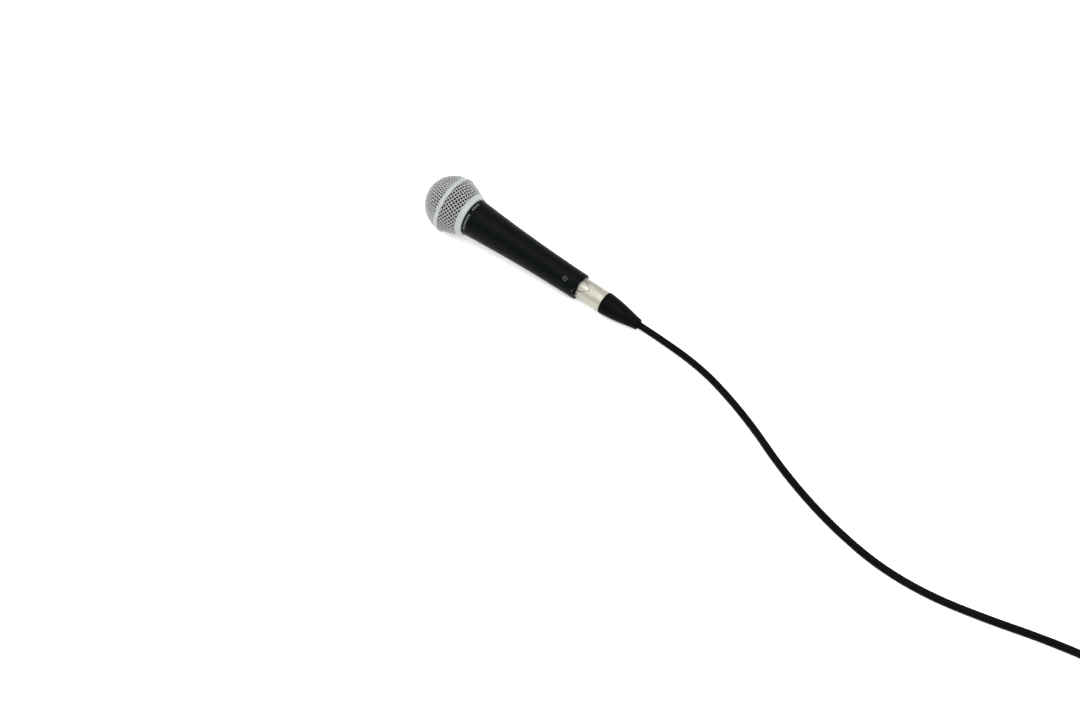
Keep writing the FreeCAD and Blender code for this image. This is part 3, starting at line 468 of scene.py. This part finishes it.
# ------------------------------------------------------------------------------------------------
# The foam liner.
# Dark open-cell foam that lines the whole ball and shows as black through its holes. It is cut
# from a sheet and pushed in from behind.


def turned(name, profile, steps=96):
    """Turns a closed outline of (radius, station) corners: a ring is extruded and widened from
    corner to corner, back to its start. A radius of nothing closes the piece on its axis."""
    nothing = 0.00002
    corners = [(max(radius, nothing), station) for radius, station in profile]
    deselect()
    bpy.ops.mesh.primitive_circle_add(vertices=steps, radius=corners[0][0])
    piece = bpy.context.object
    piece.name = piece.data.name = name
    bpy.ops.object.mode_set(mode="EDIT")
    bpy.ops.mesh.select_mode(type="VERT")
    bpy.ops.mesh.select_all(action="SELECT")
    bpy.ops.transform.translate(value=(0, 0, corners[0][1]))
    for (radius, station), (wider, further) in zip(corners, corners[1:] + corners[:1]):
        forward = {"value": (0, 0, further - station)}
        bpy.ops.mesh.extrude_region_move(TRANSFORM_OT_translate=forward)
        if wider != radius:
            scale = wider / radius
            bpy.ops.transform.resize(value=(scale, scale, 1), center_override=(0, 0, 0))
    bpy.ops.mesh.select_all(action="SELECT")
    bpy.ops.mesh.remove_doubles(threshold=nothing * 1.5)
    bpy.ops.mesh.normals_make_consistent(inside=False)
    bpy.ops.object.mode_set(mode="OBJECT")
    return piece


def take_up(piece, *others):
    """Selects the piece and the others and nothing else, with the piece as the active one."""
    deselect()
    for each in (piece, *others):
        each.select_set(True)
    bpy.context.view_layer.objects.active = piece


def apply_last(piece):
    """Makes the piece's newest modifier part of its mesh."""
    take_up(piece)
    bpy.ops.object.modifier_apply(modifier=piece.modifiers[-1].name)


def soften(piece, width, segments=3, angle=30):
    """Rounds the piece's corners."""
    bevel = piece.modifiers.new("rounding", "BEVEL")
    bevel.limit_method = "ANGLE"
    bevel.angle_limit = math.radians(angle)
    bevel.width = width
    bevel.segments = segments
    bevel.use_clamp_overlap = True
    apply_last(piece)


def settle(piece, material, body, slot, *replaced, place=mic_place, smooth=35):
    """Puts a finished piece in its place, with its finish and the body it rides on."""
    piece.matrix_world = place
    take_up(piece)
    bpy.ops.object.transform_apply(location=True, rotation=True, scale=True)
    bpy.ops.object.shade_smooth_by_angle(angle=math.radians(smooth))
    piece.data.materials.clear()
    piece.data.materials.append(material)
    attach(piece, body)
    if replaced:
        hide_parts(*replaced)


def quarter(centre, radius, start, end, steps):
    """Corners on an arc about (0, centre), from one angle to another, 0 being the front."""
    corners = []
    for k in range(steps + 1):
        angle = math.radians(start + (end - start) * k / steps)
        corners.append((radius * math.sin(angle), centre - radius * math.cos(angle)))
    return corners


BALL_CENTRE = 0.026
FOAM_RADIUS, FOAM_WALL = 0.0239, 0.003
FOOT_RADIUS, FOOT_STATION, FOOT_WALL = 0.0183, 0.0418, 0.0026
foam_profile = quarter(BALL_CENTRE, FOAM_RADIUS, 0, 90, 18)
foam_profile += [(FOOT_RADIUS, FOOT_STATION), (FOOT_RADIUS - FOOT_WALL, FOOT_STATION)]
foam_profile += quarter(BALL_CENTRE, FOAM_RADIUS - FOAM_WALL, 90, 0, 14)
foam = turned("foam_lining", foam_profile, steps=64)
foam_black, tree, shader = new_material("open-cell foam", (0.01, 0.01, 0.011), 0.95)
shader.inputs["Specular IOR Level"].default_value = 0.1
where = object_coordinates(tree)
cells = add_node(tree, "ShaderNodeTexVoronoi", Vector=where, Scale=1300.0).outputs["Distance"]
foam_colour = mix_colours(tree, cells, (0.001, 0.001, 0.001), (0.007, 0.007, 0.007))
tree.links.new(foam_colour, shader.inputs["Base Color"])
raise_grain(tree, shader, cells, 0.0003)
settle(foam, foam_black, "grille", "foam", "foam_liner")

# ------------------------------------------------------------------------------------------------
# The woven dome.
# Steel wire cloth, pressed over a ball and painted light grey. The wires go over and under each
# other and keep their spacing along each wire, so that the cloth shears towards the band.
WIRE_RADIUS = 0.00037
WIRE_PITCH = 0.0026
WIRE_SWING = 0.00035
STEPS_PER_CROSSING = 4


def woven_piece(name, strands):
    """A mesh of round wires that follow these strands of points."""
    curve = bpy.data.curves.new(name, "CURVE")
    curve.dimensions = "3D"
    curve.bevel_depth = WIRE_RADIUS
    curve.bevel_resolution = 1
    curve.use_fill_caps = True
    for strand in strands:
        spline = curve.splines.new("POLY")
        spline.points.add(len(strand) - 1)
        for point, place in zip(spline.points, strand):
            point.co = (*place, 1)
    piece = bpy.data.objects.new(name, curve)
    bpy.context.scene.collection.objects.link(piece)
    take_up(piece)
    bpy.ops.object.convert(target="MESH")
    return bpy.context.object


def over_and_under(along, parity):
    """How far out a wire is, in wire swings, this many crossings along it."""
    return math.cos(math.pi * along) * (1 if parity % 2 == 0 else -1)


def pressed_net(radius, pitch, count):
    """Where the wires of a square net cross once it is pressed over a ball, from its front."""
    step = pitch / radius
    net = {(0, 0): Vector((0, 0, -1))}
    for k in range(-count, count + 1):
        net[k, 0] = Vector((math.sin(k * step), 0, -math.cos(k * step)))
        net[0, k] = Vector((0, math.sin(k * step), -math.cos(k * step)))
    for to_i in (1, -1):
        for to_j in (1, -1):
            for i in range(1, count + 1):
                for j in range(1, count + 1):
                    corner = net[to_i * (i - 1), to_j * (j - 1)]
                    fold = net[to_i * (i - 1), to_j * j].cross(net[to_i * i, to_j * (j - 1)])
                    if fold.length < 1e-9:
                        net[to_i * i, to_j * j] = corner
                        continue
                    fold.normalize()
                    net[to_i * i, to_j * j] = corner - 2 * corner.dot(fold) * fold
    return net


DOME_MIDDLE = 0.02515     # radius of the cloth's middle
DOME_EDGE = -0.0010       # the wires end this far in front of the ball's centre
NET_COUNT = 17            # crossings each way from the dome's front
NET_TURN = math.radians(24)
net = pressed_net(DOME_MIDDLE, WIRE_PITCH, NET_COUNT)
strands = []
for family in (0, 1):
    for i in range(-NET_COUNT, NET_COUNT + 1):
        strand = []
        for k in range(-NET_COUNT * STEPS_PER_CROSSING, NET_COUNT * STEPS_PER_CROSSING + 1):
            along = k / STEPS_PER_CROSSING
            low = math.floor(along)
            ends = (low, min(low + 1, NET_COUNT))
            first, second = (net[(i, j) if family == 0 else (j, i)] for j in ends)
            direction = first.lerp(second, along - low).normalized()
            swing = WIRE_SWING * over_and_under(along, i + family)
            place = direction * (DOME_MIDDLE + swing)
            if place.z < DOME_EDGE:
                turned_place = Matrix.Rotation(NET_TURN, 3, "Z") @ place
                strand.append(turned_place + Vector((0, 0, BALL_CENTRE)))
            elif len(strand) > 2 and along > 0:
                break                  # the wire has gone over the dome and met the band again
            else:
                strand = []            # not yet on the dome
        if len(strand) > 3:
            strands.append(strand)
dome = woven_piece("woven_dome", strands)

GRILLE_PAINT = (0.33, 0.34, 0.335)
GRIME = (0.22, 0.22, 0.21)
grille_grey, tree, shader = new_material("light grey mesh paint", GRILLE_PAINT, 0.42)
where = object_coordinates(tree)
shade = noise(tree, where, 90, detail=3.0)
grime = noise(tree, where, 700, detail=3.0)
wire_colour = mix_colours(tree, shade, (0.29, 0.30, 0.295), (0.39, 0.40, 0.39))
grimy = between(tree, grime, 0.0, 0.5, 0.56, 0.75)
tree.links.new(mix_colours(tree, grimy, wire_colour, GRIME), shader.inputs["Base Color"])
tree.links.new(between(tree, shade, 0.34, 0.5, 0.3, 0.7), shader.inputs["Roughness"])
raise_grain(tree, shader, grime, 0.00004)
settle(dome, grille_grey, "grille", "mesh", "grille_dome", smooth=60)

# ------------------------------------------------------------------------------------------------
# The woven skirt.
# The same wire cloth, cut flat and rolled into a cone behind the band, with its seam on the
# underside. Rolled up, its wires run along the ball on one side and slant on the other.
SKIRT_FRONT, SKIRT_BACK = 0.02785, 0.04235
SKIRT_WIDE, SKIRT_NARROW = 0.0248, 0.0194
SKIRT_BULGE = 0.0006
SKIRT_TUCK = 0.0007
SEAM_TURN = math.radians(120)
slant = math.hypot(SKIRT_BACK - SKIRT_FRONT, SKIRT_WIDE - SKIRT_NARROW)
cone = (SKIRT_WIDE - SKIRT_NARROW) / slant
apex_to_wide = SKIRT_WIDE / cone
half_sheet = math.pi * cone


def on_skirt(x, y, swing):
    """A point of the flat sheet on the rolled skirt, or None off its edges."""
    distance, bearing = math.hypot(x, y), math.atan2(y, x)
    share = (apex_to_wide - distance) / slant
    if abs(bearing) > half_sheet or not -SKIRT_TUCK / slant < share < 1 + SKIRT_TUCK / slant:
        return None
    radius = distance * cone + SKIRT_BULGE * 4 * share * (1 - share) + swing
    angle = SEAM_TURN + math.pi + bearing / cone
    station = SKIRT_FRONT + share * (SKIRT_BACK - SKIRT_FRONT)
    return Vector((radius * math.cos(angle), radius * math.sin(angle), station))


strands = []
reach = math.ceil((apex_to_wide + 0.002) / WIRE_PITCH)
for family in (0, 1):
    for i in range(-reach, reach + 1):
        strand = []
        for k in range(-reach * STEPS_PER_CROSSING, reach * STEPS_PER_CROSSING + 1):
            along = k / STEPS_PER_CROSSING
            swing = WIRE_SWING * over_and_under(along, i + family)
            x, y = (i, along) if family == 0 else (along, i)
            place = on_skirt(x * WIRE_PITCH, y * WIRE_PITCH, swing)
            if place is not None:
                strand.append(place)
                continue
            if len(strand) > 2:
                strands.append(strand)
            strand = []
skirt = woven_piece("woven_skirt", strands)
settle(skirt, grille_grey, "grille", "mesh", "grille_skirt", smooth=60)

# ------------------------------------------------------------------------------------------------
# The band.
# A rolled steel ring, pressed over the edges of the dome and the skirt where they meet, and
# painted with them.
BAND_PROFILE = [
    (0.0250, 0.02415), (0.0259, 0.02415), (0.0261, 0.0245), (0.02621, 0.0252), (0.02625, 0.0261),
    (0.02625, 0.0276), (0.0261, 0.02785), (0.0250, 0.02785),
]
band = turned("ball_band", BAND_PROFILE, steps=128)
soften(band, 0.00018, segments=2, angle=12)
ring_grey, tree, shader = new_material("light grey ring paint", GRILLE_PAINT, 0.4)
where = object_coordinates(tree)
shade = noise(tree, where, 130, detail=4.0)
scuffs = noise(tree, where, 900, detail=5.0, roughness=0.7)
ring_colour = mix_colours(tree, shade, (0.26, 0.275, 0.27), (0.34, 0.35, 0.345))
worn = between(tree, scuffs, 0.0, 0.6, 0.62, 0.72)
tree.links.new(mix_colours(tree, worn, ring_colour, GRIME), shader.inputs["Base Color"])
tree.links.new(between(tree, scuffs, 0.3, 0.46, 0.3, 0.7), shader.inputs["Roughness"])
raise_grain(tree, shader, scuffs, 0.00003)
settle(band, ring_grey, "grille", "band", "grille_band")

# ------------------------------------------------------------------------------------------------
# The collar and its gasket.
# A turned ring that the skirt is crimped into, threaded inside to screw onto the handle's neck.
# It closes on a thin black gasket.
COLLAR_PROFILE = [
    (0.01535, 0.04235), (0.0194, 0.04235), (0.0202, 0.0425), (0.0203, 0.0429), (0.0201, 0.0434),
    (0.01955, 0.0437), (0.0193, 0.0441), (0.0191, 0.0449), (0.01875, 0.0457), (0.0185, 0.0464),
    (0.0182, 0.0470), (0.0177, 0.0474), (0.01535, 0.0474),
]
collar = turned("screw_collar", COLLAR_PROFILE, steps=128)
soften(collar, 0.00015, segments=2, angle=14)
settle(collar, ring_grey, "grille", "collar", "grille_collar")
dress(plain_finish("gasket rubber", (0.01, 0.01, 0.01), 0.65, 0.0, 1800, 0.00004), "collar_gasket")

# ------------------------------------------------------------------------------------------------
# The connector's shell.
# Die-cast zinc, plated with satin nickel: a thin nose that goes into the handle, and a barrel with
# an opening for the latch. The far plug's shell has the same plate.


def local_block(name, x, y, z):
    """A block between pairs of places in the microphone's own frame."""
    middle = [(low + high) / 2 for low, high in (x, y, z)]
    size = [high - low for low, high in (x, y, z)]
    deselect()
    bpy.ops.mesh.primitive_cube_add(size=1, location=middle, scale=size)
    piece = bpy.context.object
    piece.name = name
    bpy.ops.object.transform_apply(location=True, rotation=True, scale=True)
    return piece


def carve(piece, tool, operation="DIFFERENCE"):
    """Cuts the piece with a tool, which is then thrown away."""
    cut = piece.modifiers.new("carving", "BOOLEAN")
    cut.operation = operation
    cut.solver = "EXACT"
    cut.object = tool
    apply_last(piece)
    bpy.data.objects.remove(tool)


def select_faces(piece, wanted):
    """Goes into edit mode with the wanted faces selected, and nothing else."""
    take_up(piece)
    for polygon in piece.data.polygons:
        polygon.select = wanted(polygon)
    chosen = {v for polygon in piece.data.polygons if polygon.select for v in polygon.vertices}
    for vertex in piece.data.vertices:
        vertex.select = vertex.index in chosen
    for edge in piece.data.edges:
        edge.select = all(v in chosen for v in edge.vertices)
    bpy.ops.object.mode_set(mode="EDIT")
    bpy.ops.mesh.select_mode(type="FACE")


TAB_FRONT = 0.1656
TAB_HALF = 0.00475
TAB_STRAIGHT = 0.0030
TAB_POINT = ((0.0034, 0.74), (0.0021, 0.52), (0.0009, 0.42))    # how far, and narrowed to what
TAB_ROUNDING = 0.0007


def tongue(name, gap, low, high):
    """The latch tab's pointed shape, with a gap round it: a block whose far end is drawn out."""
    front = TAB_FRONT - 3 * gap
    sides = (-TAB_HALF - gap, TAB_HALF + gap)
    piece = local_block(name, (low, high), sides, (front, TAB_FRONT + TAB_STRAIGHT))
    select_faces(piece, lambda face: face.normal.z > 0.9)
    for step, (forward, narrower) in enumerate(TAB_POINT):
        if step == len(TAB_POINT) - 1:
            forward += gap
        bpy.ops.mesh.extrude_region_move(TRANSFORM_OT_translate={"value": (0, 0, forward)})
        bpy.ops.transform.resize(value=(1, narrower, 1))
    bpy.ops.object.mode_set(mode="OBJECT")
    soften(piece, TAB_ROUNDING, segments=3, angle=15)
    return piece


SHELL_PROFILE = [
    (0.0072, 0.1512), (0.0077, 0.1512), (0.0080, 0.1518), (0.0080, 0.1653), (0.0093, 0.1653),
    (0.0095, 0.1656), (0.0095, 0.1884), (0.00935, 0.1886), (0.00935, 0.1890), (0.0095, 0.1892),
    (0.0095, 0.1895), (0.0083, 0.1895), (0.0083, 0.1730), (0.0072, 0.1730),
]
TAB_GAP = 0.00055
THROUGH_WALL = (0.001, 0.012)
WAY_ACROSS, WAY_ALONG = (-0.00215, 0.00215), (0.15465, 0.1663)
shell = turned("connector_barrel", SHELL_PROFILE, steps=128)
carve(shell, local_block("latch_way", THROUGH_WALL, WAY_ACROSS, WAY_ALONG))
carve(shell, tongue("tab_way", TAB_GAP, *THROUGH_WALL))
soften(shell, 0.00012, segments=2, angle=40)
nickel, tree, shader = new_material("satin nickel", (0.40, 0.39, 0.33), 0.5, 1.0)
where = object_coordinates(tree, mic_place)
across, sideways, station = parts_of(tree, where)
stretched = add_node(tree, "ShaderNodeMapping", Vector=where)
stretched.inputs["Scale"].default_value = (1, 1, 0.12)
brushing = noise(tree, stretched.outputs["Vector"], 3600, detail=3.0, roughness=0.6)
tarnish = noise(tree, where, 160, detail=4.0, roughness=0.6)
marks = noise(tree, where, 900, detail=5.0, roughness=0.75)
plate = mix_colours(tree, tarnish, (0.31, 0.30, 0.255), (0.46, 0.45, 0.39))
spots = between(tree, marks, 0.0, 0.6, 0.56, 0.66)
plate = mix_colours(tree, spots, plate, (0.20, 0.19, 0.15))
# painted shade in the gap round the latch, below the barrel's polished face
POLISHED_FACE, FACE_FRONT, SHADE_EDGE = 0.00925, 0.1657, 0.0001
GAP_SHADE = (0.012, 0.012, 0.010)
out_from_axis = hypotenuse(tree, across, sideways)
below_face = between(tree, out_from_axis, 1, 0, POLISHED_FACE - SHADE_EDGE, POLISHED_FACE)
behind_front = between(tree, station, 0, 1, FACE_FRONT, FACE_FRONT + SHADE_EDGE)
painted_gap_shade = combine(tree, "MULTIPLY", below_face, behind_front)
tree.links.new(mix_colours(tree, painted_gap_shade, plate, GAP_SHADE), shader.inputs["Base Color"])
tree.links.new(between(tree, tarnish, 0.44, 0.6, 0.3, 0.7), shader.inputs["Roughness"])
raise_grain(tree, shader, combine(tree, "ADD", brushing, marks), 0.00002)
settle(shell, nickel, "cable", "nickel", "connector_shell")
dress(nickel, "plug_shell")
dress(plain_finish("clamp plastic", (0.42, 0.42, 0.40), 0.5, 0.0, 1500, 0.00003),
      "connector_clamp", "plug_clamp")

# ------------------------------------------------------------------------------------------------
# The latch.
# One piece of pressed and plated steel: a tab with a pointed end that lies level with the barrel,
# a bar under it and a hook in front. A small coil spring lifts it.
TAB_RING = [(0.0079, 0.1650), (0.0096, 0.1650), (0.0096, 0.1765), (0.0079, 0.1765)]
BAR_ACROSS = (-0.002, 0.002)
HOOK_TIP, HOOK_LEAN = 0.45, 0.00065


def join(piece, *others):
    """Makes the others part of the piece."""
    take_up(piece, *others)
    bpy.ops.object.join()


tab = tongue("latch_lever", 0, 0.0070, 0.0110)
carve(tab, turned("tab_ring", TAB_RING, steps=128), "INTERSECT")
bar = local_block("latch_bar", (0.0060, 0.0079), BAR_ACROSS, (0.1548, 0.1741))
hook = local_block("latch_hook", (0.0075, 0.0092), BAR_ACROSS, (0.1558, 0.1583))
select_faces(hook, lambda face: face.normal.x > 0.9)
bpy.ops.transform.resize(value=(1, 1, HOOK_TIP))
bpy.ops.transform.translate(value=(0, 0, HOOK_LEAN))
bpy.ops.object.mode_set(mode="OBJECT")
join(tab, bar, hook)
soften(tab, 0.00015, segments=2, angle=40)
# the copy keeps the nickel's painted shade, which darkens the latch's sides in the gap
latch_plate = nickel.copy()
latch_plate.name = "plated steel"
settle(tab, latch_plate, "latch", "latch", "latch")
dress(plain_finish("spring steel", (0.55, 0.55, 0.56), 0.28, 1.0, 3000, 0.00001), "latch_spring")

# ------------------------------------------------------------------------------------------------
# The boots.
# Soft black rubber sleeves, moulded in one piece, that screw onto the backs of the connectors and
# taper down to the cord so that it doesn't kink.
BOOT_FRONT = 0.1895
BOOT_PROFILE = [
    (0.0030, -0.0035), (0.0083, -0.0035), (0.0083, 0.0), (0.00945, 0.0), (0.00980, 0.0004),
    (0.00994, 0.0013), (0.00972, 0.0040), (0.00938, 0.0075), (0.00897, 0.0110),
    (0.00845, 0.0147), (0.00785, 0.0185), (0.00712, 0.0223), (0.00636, 0.0262), (0.00560, 0.0300),
    (0.00512, 0.0330), (0.00495, 0.0346), (0.00470, 0.0354), (0.00380, 0.0360), (0.0030, 0.0360),
]
boot_rubber, tree, shader = new_material("boot rubber", (0.0018, 0.0019, 0.0018), 0.5)
shader.inputs["Specular IOR Level"].default_value = 0.035
where = object_coordinates(tree)
patches = noise(tree, where, 120, detail=3.0)
tree.links.new(between(tree, patches, 0.42, 0.6, 0.3, 0.7), shader.inputs["Roughness"])
moulding = noise(tree, where, 1900, detail=4.0, roughness=0.6)
tree.links.new(mix_colours(tree, moulding, (0.0008, 0.0009, 0.0008), (0.0016, 0.0018, 0.0016)),
               shader.inputs["Base Color"])
raise_grain(tree, shader, moulding, 0.00006)
dress(jacket, "cord_root", "plug_cord_end")
# the far plug lies level, with its mouth towards the microphone
plug_low, plug_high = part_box("plug_shell")
plug_place = Matrix(((0, 0, 1), (0, -1, 0), (1, 0, 0))).transposed().to_4x4()
_, middle_y, middle_z = ((low + high) / 2 for low, high in zip(plug_low, plug_high))
plug_place.translation = (plug_low[0], middle_y, middle_z)
PLUG_LENGTH = 0.042


def make_boot(name, node, front, place):
    """A boot whose front is at this station of its connector."""
    profile = [(radius, front + station) for radius, station in BOOT_PROFILE]
    boot = turned(name, profile)
    soften(boot, 0.0002, segments=2, angle=25)
    settle(boot, boot_rubber, "cable", "boot_rubber", node, place=place)
    return boot


make_boot("mic_boot", "connector_boot", BOOT_FRONT, mic_place)
plug_boot = make_boot("plug_end_boot", "plug_boot", PLUG_LENGTH, plug_place)

# ------------------------------------------------------------------------------------------------
# The coil's strap.
# A hook-and-loop strap of woven black nylon that goes once round the bundle. Its end laps over
# itself on top.
STRAP_WIDTH = 0.0108
STRAP_THICK = 0.0010
STRAP_HALF, STRAP_TALL = 0.0136, 0.0109
STRAP_CORNER = 0.0042
LAP_ACROSS, LAP_CORNER = (-0.0085, 0.0080), 0.0004
LAP_SUNK, LAP_RAISED = 0.0002, 0.8 * STRAP_THICK


def rounded_block(name, x, y, z, corner):
    """A block whose edges along y are rounded."""
    block = local_block(name, x, y, z)
    weights = block.data.attributes.new("bevel_weight_edge", "FLOAT", "EDGE")
    for edge in block.data.edges:
        first, second = (block.data.vertices[v].co for v in edge.vertices)
        runs_along_y = abs(first.y - second.y) > 0.5 * (y[1] - y[0])
        weights.data[edge.index].value = 1.0 if runs_along_y else 0.0
    bevel = block.modifiers.new("corners", "BEVEL")
    bevel.limit_method = "WEIGHT"
    bevel.width = corner
    bevel.segments = 8
    apply_last(block)
    return block


outside = STRAP_HALF + STRAP_THICK
top = STRAP_TALL + STRAP_THICK
strap = rounded_block(
    "hook_loop_strap", (-outside, outside), (-STRAP_WIDTH / 2, STRAP_WIDTH / 2), (-top, top),
    STRAP_CORNER + STRAP_THICK,
)
carve(strap, rounded_block(
    "strap_inside", (-STRAP_HALF, STRAP_HALF), (-STRAP_WIDTH, STRAP_WIDTH),
    (-STRAP_TALL, STRAP_TALL), STRAP_CORNER,
))
lap = rounded_block(
    "strap_lap", LAP_ACROSS, (-STRAP_WIDTH / 2, STRAP_WIDTH / 2),
    (top - LAP_SUNK, top + LAP_RAISED), LAP_CORNER,
)
join(strap, lap)
soften(strap, 0.0002, segments=2, angle=60)
strap_place = Matrix.Translation(COIL_CENTRE) @ Matrix.Rotation(math.radians(STRAP_PLACE), 4, "Z")
strap_place = strap_place @ Matrix.Translation((MIDDLE_TURN, 0, CORD_RADIUS * COIL_LAYERS))
nylon, tree, shader = new_material("strap nylon", (0.012, 0.012, 0.013), 0.85)
shader.inputs["Specular IOR Level"].default_value = 0.1
where = object_coordinates(tree, strap_place)
across, sideways, height = parts_of(tree, where)
THREADS = 7500.0
warp = combine(tree, "SINE", combine(tree, "MULTIPLY", sideways, THREADS))
weft = combine(tree, "MULTIPLY", combine(tree, "ADD", across, height), THREADS)
loops = combine(tree, "MULTIPLY", warp, combine(tree, "SINE", weft))
loop_tops = between(tree, loops, 0, 1, -1, 1)
nylon_colour = mix_colours(tree, loop_tops, (0.003, 0.003, 0.003), (0.010, 0.010, 0.0105))
tree.links.new(nylon_colour, shader.inputs["Base Color"])
raise_grain(tree, shader, loops, 0.0002)
settle(strap, nylon, "cable", "tie", "coil_tie", place=strap_place)
